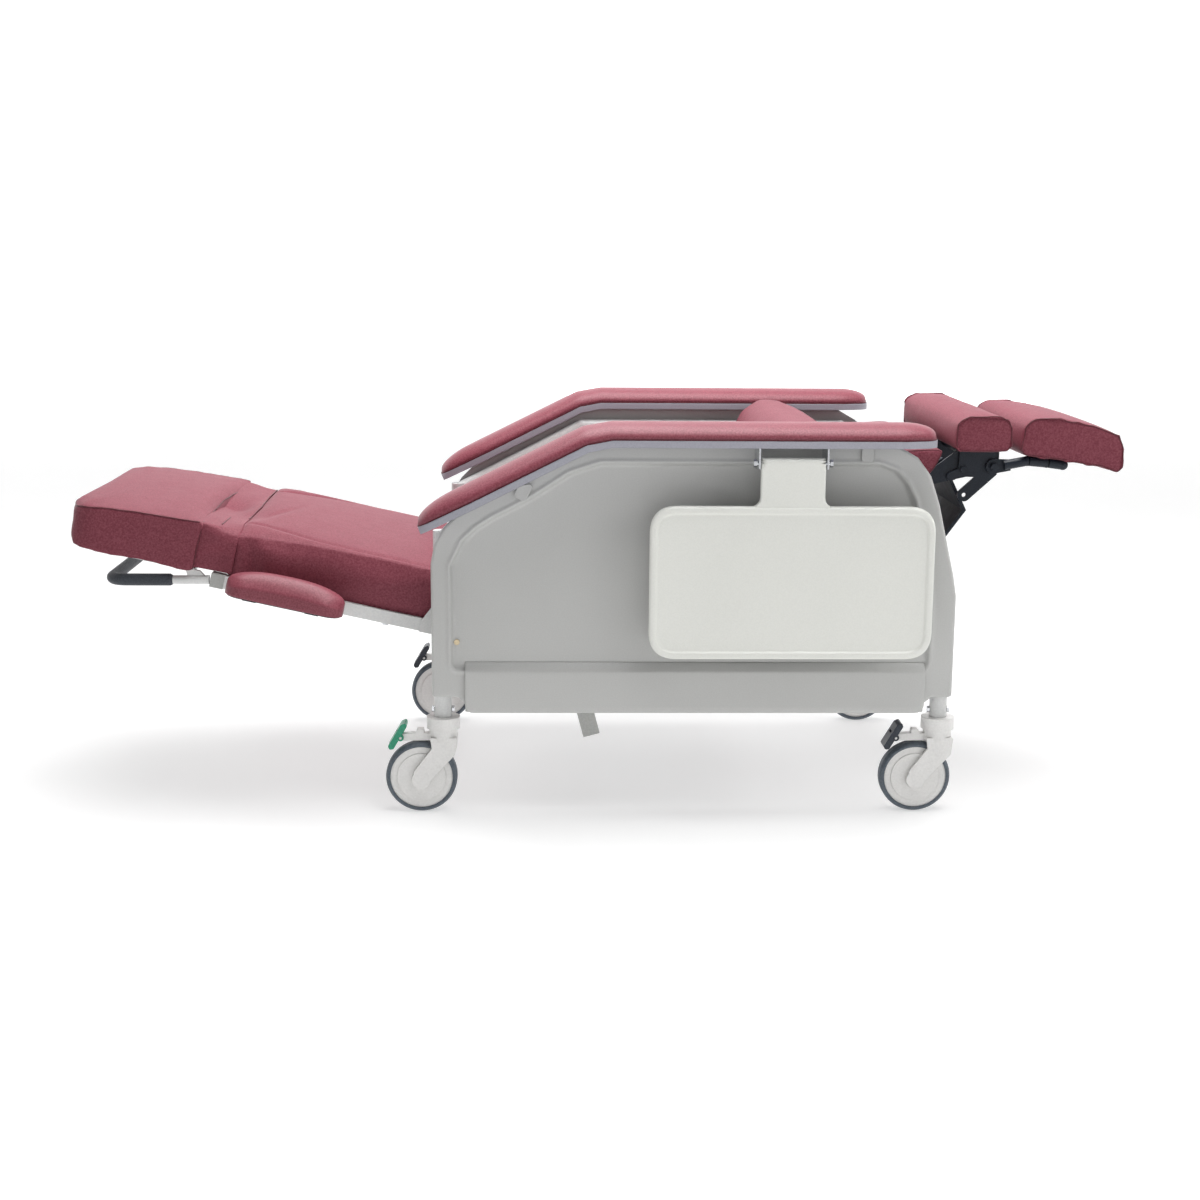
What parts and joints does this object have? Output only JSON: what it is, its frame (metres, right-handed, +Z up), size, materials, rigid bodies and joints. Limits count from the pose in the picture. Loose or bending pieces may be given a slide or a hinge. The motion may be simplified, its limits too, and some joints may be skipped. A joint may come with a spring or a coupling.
{
  "type": "patient recliner chair",
  "caption": "Reclining patient chair on braked casters: padded seat, back, headrest and legrest between moulded side panels with padded arms and a swing-up side tray",
  "frame": {"origin": "floor level under the middle of the chair's length and width, in the fully reclined pose", "axes": "+X points to the head end, -X to the foot end, -Y is the sitter's left where the side tray hangs, +Z is up"},
  "size_m": [1.8913, 0.83, 0.7068],
  "materials": {
    "upholstery": "rose vinyl upholstery with a fine mottled grain, satin",
    "panel_plastic": "light grey moulded panel, fine satin texture",
    "white_paint": "light grey powder-coated steel tube",
    "black_paint": "black powder-coated steel",
    "chrome": "bright zinc or chrome plate",
    "tray_plastic": "off-white blow-moulded plastic",
    "trim_vinyl": "cool grey edge trim",
    "brass": "plated screw head",
    "black_vinyl": "black sheet cover",
    "caster_nylon": "off-white nylon",
    "tyre": "blue-grey soft tread",
    "pedal_green": "green moulded plastic",
    "pedal_black": "black moulded plastic",
    "foam_grip": "black foam sleeve"
  },
  "bodies": {
    "frame": {"side_frame_left": "white_paint", "side_frame_right": "white_paint", "cross_tubes": "white_paint", "side_panel_left": "panel_plastic", "side_panel_right": "panel_plastic", "arm_trim_left": "trim_vinyl", "arm_trim_right": "trim_vinyl", "arm_pad_left": "upholstery", "arm_pad_right": "upholstery", "arm_brackets": "panel_plastic", "tray_bracket": "chrome", "tray_pin_shaft": "chrome", "post_bolts": "chrome", "panel_screws": "brass", "under_strut": "white_paint", "rear_cover": "black_vinyl", "caster_stems": "caster_nylon"},
    "tray": {"tray": "tray_plastic"},
    "seat": {"seat_frame": "black_paint", "seat_cushion": "upholstery"},
    "back": {"back_frame": "black_paint", "back_cushion": "upholstery", "lumbar_cushion": "upholstery", "shoulder_bolster": "upholstery", "back_plates": "black_paint", "back_bolts": "black_paint"},
    "headrest": {"headrest_bar": "black_paint", "headrest_cushion": "upholstery"},
    "legrest": {"leg_frame": "white_paint", "calf_cushion": "upholstery", "leg_bushings": "panel_plastic", "side_pad_left": "upholstery", "side_pad_right": "upholstery", "side_pad_bases": "black_paint", "leg_bolts": "chrome", "fold_gusset": "upholstery"},
    "footrest": {"foot_frame": "white_paint", "foot_grip": "foam_grip", "foot_cushion": "upholstery"},
    "caster_fl": {"fork_fl": "caster_nylon", "axle_fl": "chrome"},
    "wheel_fl": {"wheel_fl": "caster_nylon", "tyre_fl": "tyre"},
    "brake_fl": {"pedal_fl": "pedal_green"},
    "caster_fr": {"fork_fr": "caster_nylon", "axle_fr": "chrome"},
    "wheel_fr": {"wheel_fr": "caster_nylon", "tyre_fr": "tyre"},
    "brake_fr": {"pedal_fr": "pedal_black"},
    "caster_rl": {"fork_rl": "caster_nylon", "axle_rl": "chrome"},
    "wheel_rl": {"wheel_rl": "caster_nylon", "tyre_rl": "tyre"},
    "brake_rl": {"pedal_rl": "pedal_black"},
    "caster_rr": {"fork_rr": "caster_nylon", "axle_rr": "chrome"},
    "wheel_rr": {"wheel_rr": "caster_nylon", "tyre_rr": "tyre"},
    "brake_rr": {"pedal_rr": "pedal_black"}
  },
  "joints": [
    {"name": "tray_swing", "type": "hinge", "parent": "frame", "child": "tray", "pos_m": [0.309, -0.403, 0.637], "axis": [-1, 0, 0], "range_deg": [0, 90]},
    {"name": "back_recline", "type": "hinge", "parent": "frame", "child": "back", "pos_m": [0.31, 0, 0.5], "axis": [0, -1, 0], "range_deg": [0, 60]},
    {"name": "seat_tilt", "type": "hinge", "parent": "frame", "child": "seat", "pos_m": [-0.185, 0, 0.35], "axis": [0, 1, 0], "range_deg": [0, 6]},
    {"name": "legrest_swing", "type": "hinge", "parent": "frame", "child": "legrest", "pos_m": [-0.285, 0, 0.375], "axis": [0, -1, 0], "range_deg": [0, 48]},
    {"name": "headrest_tilt", "type": "hinge", "parent": "back", "child": "headrest", "pos_m": [0.7035, 0, 0.605], "axis": [0, -1, 0], "range_deg": [0, 20]},
    {"name": "footrest_fold", "type": "hinge", "parent": "legrest", "child": "footrest", "pos_m": [-0.70318, 0, 0.46618], "axis": [0, 1, 0], "range_deg": [0, 48]},
    {"name": "swivel_fl", "type": "hinge", "parent": "frame", "child": "caster_fl", "pos_m": [-0.294, -0.3175, 0.14], "axis": [0, 0, 1], "continuous": true},
    {"name": "roll_fl", "type": "hinge", "parent": "caster_fl", "child": "wheel_fl", "pos_m": [-0.333, -0.3175, 0.0635], "axis": [0, 1, 0], "continuous": true},
    {"name": "brake_press_fl", "type": "hinge", "parent": "caster_fl", "child": "brake_fl", "pos_m": [-0.37, -0.3175, 0.1355], "axis": [0, -1, 0], "range_deg": [0, 6]},
    {"name": "swivel_fr", "type": "hinge", "parent": "frame", "child": "caster_fr", "pos_m": [-0.294, 0.3175, 0.14], "axis": [0, 0, 1], "continuous": true},
    {"name": "roll_fr", "type": "hinge", "parent": "caster_fr", "child": "wheel_fr", "pos_m": [-0.333, 0.3175, 0.0635], "axis": [0, 1, 0], "continuous": true},
    {"name": "brake_press_fr", "type": "hinge", "parent": "caster_fr", "child": "brake_fr", "pos_m": [-0.37, 0.3175, 0.1355], "axis": [0, -1, 0], "range_deg": [0, 6]},
    {"name": "swivel_rl", "type": "hinge", "parent": "frame", "child": "caster_rl", "pos_m": [0.59, -0.3175, 0.14], "axis": [0, 0, 1], "continuous": true},
    {"name": "roll_rl", "type": "hinge", "parent": "caster_rl", "child": "wheel_rl", "pos_m": [0.551, -0.3175, 0.0635], "axis": [0, 1, 0], "continuous": true},
    {"name": "brake_press_rl", "type": "hinge", "parent": "caster_rl", "child": "brake_rl", "pos_m": [0.514, -0.3175, 0.1355], "axis": [0, -1, 0], "range_deg": [0, 6]},
    {"name": "swivel_rr", "type": "hinge", "parent": "frame", "child": "caster_rr", "pos_m": [0.59, 0.3175, 0.14], "axis": [0, 0, 1], "continuous": true},
    {"name": "roll_rr", "type": "hinge", "parent": "caster_rr", "child": "wheel_rr", "pos_m": [0.551, 0.3175, 0.0635], "axis": [0, 1, 0], "continuous": true},
    {"name": "brake_press_rr", "type": "hinge", "parent": "caster_rr", "child": "brake_rr", "pos_m": [0.514, 0.3175, 0.1355], "axis": [0, -1, 0], "range_deg": [0, 6]}
  ],
  "couplings": [
    {"joint": "seat_tilt", "follows": "back_recline", "ratio": 0.1},
    {"joint": "legrest_swing", "follows": "back_recline", "ratio": 0.8},
    {"joint": "footrest_fold", "follows": "back_recline", "ratio": 0.8}
  ]
}
